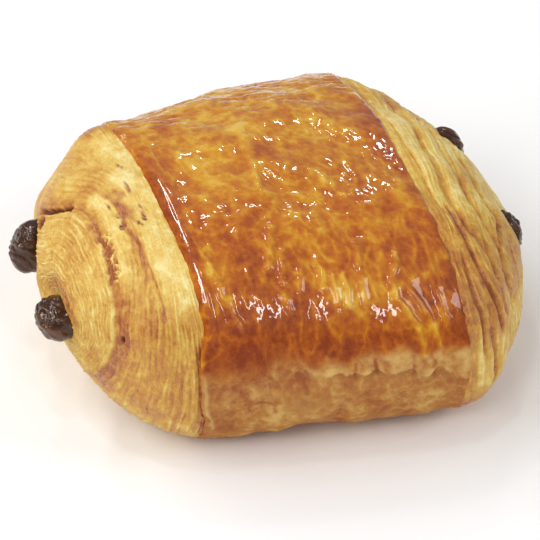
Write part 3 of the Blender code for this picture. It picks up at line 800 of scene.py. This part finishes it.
def add_object(name, data):
    item = bpy.data.objects.new(name, data)
    bpy.context.scene.collection.objects.link(item)
    return item


def add_mesh_object(name, vertices, faces, masks):
    """Object from numpy vertices in mm and faces, with its masks as attributes."""
    mesh = bpy.data.meshes.new(name)
    placed = (vertices + np.array(ORIGIN_SHIFT)) * MM
    mesh.from_pydata(placed.tolist(), [], faces)
    for mask, values in masks.items():
        kind, field = ("FLOAT_VECTOR", "vector") if values.ndim == 2 else ("FLOAT", "value")
        attribute = mesh.attributes.new(mask, kind, "POINT")
        attribute.data.foreach_set(field, values.astype(np.float32).reshape(-1))
    mesh.update()
    mesh.shade_smooth()
    return add_object(name, mesh)


def flatten(values):
    """Values of a grid of points as one row of points."""
    return values.reshape(values.shape[0] * values.shape[1], *values.shape[2:])


def with_poles(values):
    """Values of a grid as one row, then the means of its first and last ring for the two poles."""
    return np.concatenate([flatten(values), [values[0].mean(axis=0), values[-1].mean(axis=0)]])


def grid_faces(rings, around, closed):
    """Quads between neighbouring rings; a closed grid also joins its last ring to its first."""
    here = np.arange(rings * around).reshape(rings, around)
    beside = np.roll(here, -1, axis=1)
    quads = np.stack([here, beside, np.roll(beside, -1, axis=0), np.roll(here, -1, axis=0)], axis=-1)
    return quads[:rings if closed else -1].reshape(-1, 4).tolist()


def capped_faces(rings, around):
    """Quads of an open grid and a fan over each end, to the two last vertices."""
    faces = grid_faces(rings, around, False)
    pole = rings * around
    start = pole - around
    faces.extend((pole, (k + 1) % around, k) for k in range(around))
    faces.extend((pole + 1, start + k, start + (k + 1) % around) for k in range(around))
    return faces


def around_angles(count):
    """Angles round the roll from under it, closer together on the side that faces the picture."""
    share = np.arange(count) / count
    turned = share - FINER_BY * np.sin(2 * math.pi * (share - FINER_SIDE))
    return np.radians(360 * turned - 90)


def roll_grid(stations, around):
    """Station, angle and degrees of every point of a grid on the roll."""
    station, angle = np.meshgrid(stations, around_angles(around), indexing="ij")
    return station, angle, np.degrees(angle) % 360


def lift(station, angle, point, height):
    """Points of the plain roll moved outward by a height, none of them below its base."""
    safe = np.clip(station, -1 + 2 * ROLL_NORMAL_STEP, 2 - 2 * ROLL_NORMAL_STEP)
    point = point + outward_normal(plain_roll, safe, angle, ROLL_NORMAL_STEP) * height[..., None]
    point[..., 2] = np.maximum(point[..., 2], 0)
    return point


def make_band():
    """The glazed band, a closed ring of dough whose rims curl in over both ends."""
    plain_rings = BAND_RINGS - 2 * len(RIM_SAG)
    middle = np.linspace(0, 1, plain_rings + 2)[1:-1]
    stations = np.concatenate([RIM_REACH, middle, 1 - np.array(RIM_REACH[::-1])])
    sags = np.concatenate([RIM_SAG, np.full(plain_rings, BAND_LIP), RIM_SAG[::-1]]) - BAND_LIP
    station, angle, degrees = roll_grid(stations, BAND_AROUND)
    share = np.clip(station, 0, 1)
    from_left = share * BAND_LENGTH
    from_right = (1 - share) * BAND_LENGTH
    point = plain_roll(share, angle)
    ragged = 0.3 * fractal(point, 2.2, 3, 191) * (fade(from_left, 0, 0.8) + fade(from_right, 0, 2))
    height, masks = band_shape(share, degrees, point)
    height = (height + uneven(point)) * grow(point[..., 2], 0, RELIEF_FADE_HEIGHT) + sags[:, None]
    point = lift(share, angle, point, height)
    point[..., 0] += (station - share) * BAND_LENGTH + ragged
    point[..., 0] += left_rim_shift(degrees) * fade(from_left, 0, 4)
    point[..., 0] += right_rim_shift(degrees) * fade(from_right, 0, 4)
    faces = grid_faces(len(stations), BAND_AROUND, True)
    flat_masks = {mask: flatten(values) for mask, values in masks.items()}
    return add_mesh_object("glazed_band", flatten(point), faces, flat_masks)


def make_end(name, side, shape):
    """One layered end, from its tip to a little way under the band's rim, closed inside."""
    outward = np.concatenate([np.linspace(1, 0, END_RINGS)[1:], -UNDER_RIM])
    stations = outward * side + (side > 0)
    station, angle, degrees = roll_grid(stations, END_AROUND)
    point = plain_roll(station, angle)
    steps = np.linalg.norm(np.diff(point, axis=0), axis=-1)
    along = np.concatenate([np.zeros((1, END_AROUND)), np.cumsum(steps, axis=0)])
    from_edge = along[END_RINGS - 2] - along
    height, masks = shape(station, degrees, point, from_edge)
    height += uneven(point) - baton_pits(station, point)
    height *= grow(point[..., 2], 0, RELIEF_FADE_HEIGHT)
    hidden = -from_edge - (left_rim_shift(degrees) if side < 0 else 0)
    height -= UNDER_RIM_DEPTH * grow(hidden, 0, 1)
    vertices = with_poles(lift(station, angle, point, height))
    full_masks = {mask: with_poles(values) for mask, values in masks.items()}
    return add_mesh_object(name, vertices, capped_faces(len(stations), END_AROUND), full_masks)


def baton_surface(baton, along, angle):
    """Point on a baton: a rounded bar between its two tips."""
    left_way = np.clip(1 - along / BATON_TIP_SHARE, 0, 1)
    left_reach, left_girth = edge_share(left_way, BATON_TIP_BLUNTNESS)
    right_reach, right_girth = edge_share(1 - (1 - along) / BATON_TIP_SHARE, BATON_TIP_BLUNTNESS)
    middle_share = np.clip((along - BATON_TIP_SHARE) / (1 - 2 * BATON_TIP_SHARE), 0, 1)
    start = baton["left_tip"][0] + BATON_TIP_LENGTH
    end = baton["right_tip"][0] - BATON_TIP_LENGTH
    x = start + (end - start) * middle_share + BATON_TIP_LENGTH * (right_reach - left_reach)
    middle_y, middle_z = baton_line(baton, x)

    girth = left_girth * right_girth * (1 + BATON_LUMPS * np.sin(3 * angle + BATON_LUMP_TWIST * x))
    across, up = oval(angle, BATON_SECTION_POWER)
    across = across * girth * 0.5 * baton["width"]
    up = up * girth * 0.5 * baton["thickness"]
    cos_turn = math.cos(baton["turn"])
    sin_turn = math.sin(baton["turn"])
    y = middle_y + across * cos_turn - up * sin_turn
    z = middle_z + across * sin_turn + up * cos_turn
    return np.stack([x + baton["slant"] * up * left_way, y, z], axis=-1)


def make_baton(baton):
    """A detailed baton with a few smooth folds and lumps in its chocolate."""
    along = np.linspace(0, 1, BATON_RINGS + 2)[1:-1]
    angles = 2 * math.pi * np.arange(BATON_AROUND) / BATON_AROUND
    share, angle = np.meshgrid(along, angles, indexing="ij")
    surface = partial(baton_surface, baton)
    point = surface(share, angle)
    seed = baton["seed"]
    leaning = point @ np.array(BATON_FOLD_AXES)
    folds = billow(leaning + 0.2 * fractal(point, 2, 2, seed + 7)[..., None], 1, 1, seed)
    grit = fractal(point, 1.8, 4, seed + 3)
    crumbs = billow(point, 1.1, 2, seed + 5) * grow(point[..., 2] - baton["left_tip"][2], 0.3, 1.4)
    height = 0.34 * (folds - 0.35) + 0.2 * grit + baton["crumbs"] * (crumbs - 0.3)
    point = point + outward_normal(surface, share, angle, BATON_NORMAL_STEP) * height[..., None]
    vertices = np.concatenate([flatten(point), surface(np.array([0.0, 1.0]), np.zeros(2))])
    # Lighter on the fold ridges and darker in the narrow hollows between: painted highlight and painted shade
    masks = {"fold_light_and_shade": np.concatenate([flatten(folds), [0.5, 0.5]])}
    return add_mesh_object(baton["name"], vertices, capped_faces(BATON_RINGS, BATON_AROUND), masks)


def face_outward(item):
    """Turn all faces over if the closed mesh is inside out."""
    shell = bmesh.new()
    shell.from_mesh(item.data)
    if shell.calc_volume(signed=True) < 0:
        item.data.flip_normals()
    shell.free()


# Materials

class Paint:
    """One material, with short ways to add nodes to it; each way gives back an output."""

    def __init__(self, name):
        self.material = bpy.data.materials.new(name)
        self.material.use_nodes = True
        self.tree = self.material.node_tree

    def feed(self, socket, value):
        """Link an output to a socket, or give it a number, a direction or a colour."""
        if isinstance(value, bpy.types.NodeSocket):
            self.tree.links.new(value, socket)
        elif socket.type == "RGBA":
            socket.default_value = (*value, 1)
        else:
            socket.default_value = value

    def add(self, kind, inputs, output=0, **settings):
        node = self.tree.nodes.new("ShaderNode" + kind)
        for name, value in settings.items():
            setattr(node, name, value)
        for place, value in inputs.items():
            self.feed(node.inputs[place], value)
        return node.outputs[output]

    def finish(self, inputs):
        """Feed the shader and give back the material."""
        shader = self.tree.nodes["Principled BSDF"]
        for name, value in inputs.items():
            self.feed(shader.inputs[name], value)
        return self.material

    def mask(self, name, output="Fac"):
        return self.add("Attribute", {}, output, attribute_name=name)

    def plus(self, first, second, limit=False):
        return self.add("Math", {0: first, 1: second}, operation="ADD", use_clamp=limit)

    def times(self, first, second):
        return self.add("Math", {0: first, 1: second}, operation="MULTIPLY")

    def mapped(self, value, low, high, to_low=0, to_high=1):
        inputs = {"Value": value, "From Min": low, "From Max": high, "To Min": to_low, "To Max": to_high}
        return self.add("MapRange", inputs, "Result")

    def mix(self, factor, first, second):
        return self.add("Mix", {0: factor, 6: first, 7: second}, 2, data_type="RGBA")

    def ramp(self, factor, stops):
        """Colour by a factor, through the given places and colours."""
        output = self.add("ValToRGB", {"Fac": factor}, "Color")
        elements = output.node.color_ramp.elements
        elements.remove(elements[1])
        elements[0].position = stops[0][0]
        elements[0].color = (*stops[0][1], 1)
        for place, colour in stops[1:]:
            elements.new(place).color = (*colour, 1)
        return output

    def texture(self, place, scale, detail, seed):
        inputs = {"Vector": place, "W": seed, "Scale": scale, "Detail": detail}
        return self.add("TexNoise", inputs, "Fac", noise_dimensions="4D")

    def speckle(self, size_mm, detail, seed):
        """Noise texture of a given size, by the object's own coordinates."""
        return self.texture(self.add("TexCoord", {}, "Object"), 1 / (size_mm * MM), detail, seed)

    def mottle(self, size_mm, detail, seed, amount):
        """Speckle moved to lie round 0 and scaled."""
        return self.times(self.plus(self.speckle(size_mm, detail, seed), -0.5), amount)

    def flow_lines(self, across, along, seed):
        """Noise drawn out along the layers: how fine it is across them and along them."""
        inputs = {0: self.mask("flow", "Vector"), 1: (across, along, along)}
        return self.texture(self.add("VectorMath", inputs, operation="MULTIPLY"), 1, 2, seed)

    def relief(self, height, distance_mm, strength):
        inputs = {"Height": height, "Distance": distance_mm * MM, "Strength": strength}
        return self.add("Bump", inputs, "Normal")


# Colours by tone, from the palest to the brownest
GLAZE_COLOURS = (
    (0, (0.74, 0.46, 0.075)), (0.25, (0.65, 0.32, 0.024)), (0.5, (0.54, 0.185, 0.012)),
    (0.75, (0.42, 0.098, 0.011)), (1, (0.24, 0.042, 0.011)),
)
BARE_COLOURS = (
    (0, (0.84, 0.7, 0.3)), (0.25, (0.74, 0.51, 0.12)), (0.5, (0.62, 0.335, 0.052)),
    (0.75, (0.49, 0.19, 0.035)), (1, (0.34, 0.095, 0.024)),
)
LOW_BAND_COLOURS = ((0, (0.63, 0.39, 0.12)), (0.45, (0.49, 0.215, 0.06)), (1, (0.35, 0.105, 0.04)))
CHOCOLATE_COLOURS = ((0.2, (0.036, 0.011, 0.005)), (0.8, (0.11, 0.038, 0.016)))
CREAM = (0.68, 0.44, 0.15)
# Brown of painted shade under the flap and in the creases of the bare front, also of a dark spot there
CREASE_BROWN = (0.3, 0.1, 0.035)
# Browns of painted shade in the recesses of the ends, also the colour of their dark specks
RED_BROWN = (0.3, 0.075, 0.022)
SHADE_AND_SPECK_COLOUR = (0.045, 0.013, 0.007)
WARM_GLOSS = (1, 0.82, 0.7)
FLOOR_WHITE = (0.97, 0.97, 0.97)


def glaze_material():
    paint = Paint("glazed_crust")
    mottle = paint.plus(paint.mottle(0.9, 4, 1, 0.5), paint.mottle(0.3, 2, 12, 0.25))
    glazed = paint.ramp(paint.plus(paint.mask("tone"), mottle, limit=True), GLAZE_COLOURS)
    low_mottle = paint.plus(paint.mottle(1.2, 5, 2, 0.9), paint.mottle(0.35, 2, 13, 0.35))
    low = paint.ramp(paint.plus(low_mottle, paint.mask("low_tone"), limit=True), LOW_BAND_COLOURS)
    pale = paint.mask("pale")
    # Painted shade where pale falls below 0
    shaded = paint.mix(paint.mapped(pale, -0.5, 0, 0.8, 0), low, CREASE_BROWN)
    spotted = paint.plus(pale, paint.times(low_mottle, -0.7))
    low_colour = paint.mix(paint.mapped(spotted, 0, 1), shaded, CREAM)
    glaze = paint.mask("glaze")
    coat_relief = paint.times(paint.mottle(1.2, 1.5, 4, 1), paint.mask("rough"))
    return paint.finish({
        "Base Color": paint.mix(glaze, low_colour, glazed),
        "Roughness": paint.mapped(glaze, 0, 1, 0.6, 0.4),
        "Coat Weight": paint.mapped(paint.mask("coat"), 0.1, 0.9),
        "Coat Roughness": 0.05,
        "Coat IOR": 1.5,
        "Specular IOR Level": 0.05,
        "Normal": paint.relief(paint.speckle(0.5, 3, 3), 0.12, 0.6),
        "Coat Normal": paint.relief(coat_relief, 0.12, 0.4),
    })


def layers_material():
    paint = Paint("bare_layers")
    both_lines = paint.plus(paint.flow_lines(2.4, 4, 10), paint.flow_lines(6, 12, 11))
    lines = paint.times(paint.plus(both_lines, -1), paint.mask("lined"))
    grain = paint.plus(paint.mottle(0.8, 4, 5, 0.4), paint.mottle(0.32, 2, 14, 0.45))
    tone = paint.plus(paint.mask("tone"), paint.plus(paint.times(lines, 0.42), grain), limit=True)
    shade_and_specks = paint.mask("shade_and_specks")
    # Painted shade in the recesses, from reddish brown to near black, and the dark specks
    browned = paint.mix(paint.mapped(shade_and_specks, 0, 0.55), paint.ramp(tone, BARE_COLOURS), RED_BROWN)
    return paint.finish({
        "Base Color": paint.mix(paint.mapped(shade_and_specks, 0.45, 1), browned, SHADE_AND_SPECK_COLOUR),
        "Roughness": paint.mapped(tone, 0.45, 1, 0.5, 0.22),
        "Specular IOR Level": 0.4,
        "Normal": paint.relief(paint.plus(lines, paint.speckle(0.4, 3, 6)), 0.18, 0.55),
    })


def chocolate_material():
    paint = Paint("dark_chocolate")
    # Colour lighter on the fold ridges and darker in the hollows, painted highlight and painted shade, with
    # some mottling
    fold_shading = paint.plus(paint.mask("fold_light_and_shade"), paint.mottle(0.6, 3, 7, 0.7))
    return paint.finish({
        "Base Color": paint.ramp(fold_shading, CHOCOLATE_COLOURS),
        "Roughness": paint.mapped(paint.speckle(1.8, 1.5, 8), 0.38, 0.62, 0.1, 0.26),
        "Specular IOR Level": 0.6,
        "Specular Tint": WARM_GLOSS,
        "Normal": paint.relief(paint.speckle(0.5, 2, 9), 0.05, 0.4),
    })


def floor_material():
    inputs = {"Base Color": FLOOR_WHITE, "Roughness": 0.9, "Specular IOR Level": 0.1}
    return Paint("pale_floor").finish(inputs)


# Stage, in metres

# Round lights: place, size and power
LIGHTS = (
    ("back_right", (0.2, 0.44, 0.44), 0.045, 0.15),
    ("back_high", (-0.02, 0.3, 0.56), 0.05, 0.16),
    ("top", (-0.08, -0.02, 0.62), 0.05, 0.18),
    ("front_left", (-0.3, -0.36, 0.44), 0.2, 0.52),
    ("right", (0.45, -0.25, 0.36), 0.25, 0.72),
)

# Long thin lights: start, end, width and power
STRIP_LIGHTS = (
    ("left_back", (-0.16, 0.46, 0.42), (-0.32, 0.21, 0.5), 0.035, 0.85),
    ("left_front", (-0.33, 0.19, 0.49), (-0.53, -0.22, 0.29), 0.035, 1.35),
    ("front", (0.03, -0.3, 0.55), (0.03, -0.55, 0.32), 0.02, 0.44),
)
LIGHT_TARGET = (0, 0, 0.015)
WORLD_LIGHT = 0.33
FLOOR_SIZE = 4


def aim(item, target):
    direction = Vector(np.array(target) - np.array(item.location))
    item.rotation_euler = direction.to_track_quat("-Z", "Y").to_euler()


def add_light(name, shape, width, height, power):
    data = bpy.data.lights.new(name, "AREA")
    data.shape = shape
    data.size = width
    data.size_y = height
    data.energy = power
    return add_object(name, data)


def make_stage():
    bpy.ops.mesh.primitive_plane_add(size=FLOOR_SIZE)
    floor = bpy.context.object
    floor.name = "floor"
    floor.data.materials.append(floor_material())
    for name, place, size, power in LIGHTS:
        light = add_light(name, "ELLIPSE", size, size, power)
        light.location = place
        aim(light, LIGHT_TARGET)
    for name, start, end, width, power in STRIP_LIGHTS:
        start, end = Vector(start), Vector(end)
        light = add_light(name, "RECTANGLE", (end - start).length, width, power)
        middle = (start + end) / 2
        back = (middle - Vector(LIGHT_TARGET)).normalized()
        across = back.cross((end - start).normalized()).normalized()
        light.matrix_world = Matrix((across.cross(back), across, back)).transposed().to_4x4()
        light.location = middle
    world = bpy.data.worlds.new("studio")
    world.use_nodes = True
    background = world.node_tree.nodes["Background"]
    background.inputs["Color"].default_value = (1, 1, 1, 1)
    background.inputs["Strength"].default_value = WORLD_LIGHT
    bpy.context.scene.world = world


def make_camera():
    azimuth = math.radians(CAMERA_AZIMUTH)
    elevation = math.radians(CAMERA_ELEVATION)
    level = math.cos(elevation)
    back = np.array([math.sin(azimuth) * level, -math.cos(azimuth) * level, math.sin(elevation)])
    target = (np.array(CAMERA_TARGET) + np.array(ORIGIN_SHIFT)) * MM
    data = bpy.data.cameras.new("camera")
    data.sensor_width = SENSOR_MM
    data.lens = LENS_MM
    camera = add_object("camera", data)
    camera.location = target + back * CAMERA_DISTANCE * MM
    aim(camera, target)
    bpy.context.scene.camera = camera


def main():
    make_camera()
    make_stage()
    bpy.context.scene.view_settings.view_transform = "Standard"
    layers = layers_material()
    chocolate = chocolate_material()
    band = make_band()
    left = make_end("left_layers", -1, left_end_shape)
    right = make_end("right_layers", 1, right_end_shape)
    for piece, material in ((band, glaze_material()), (left, layers), (right, layers)):
        face_outward(piece)
        piece.data.materials.append(material)
        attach(piece, "root")
        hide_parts("dough")
    for baton in BATONS:
        bar = make_baton(baton)
        face_outward(bar)
        bar.data.materials.append(chocolate)
        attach(bar, "root")
        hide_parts(baton["node"])


main()
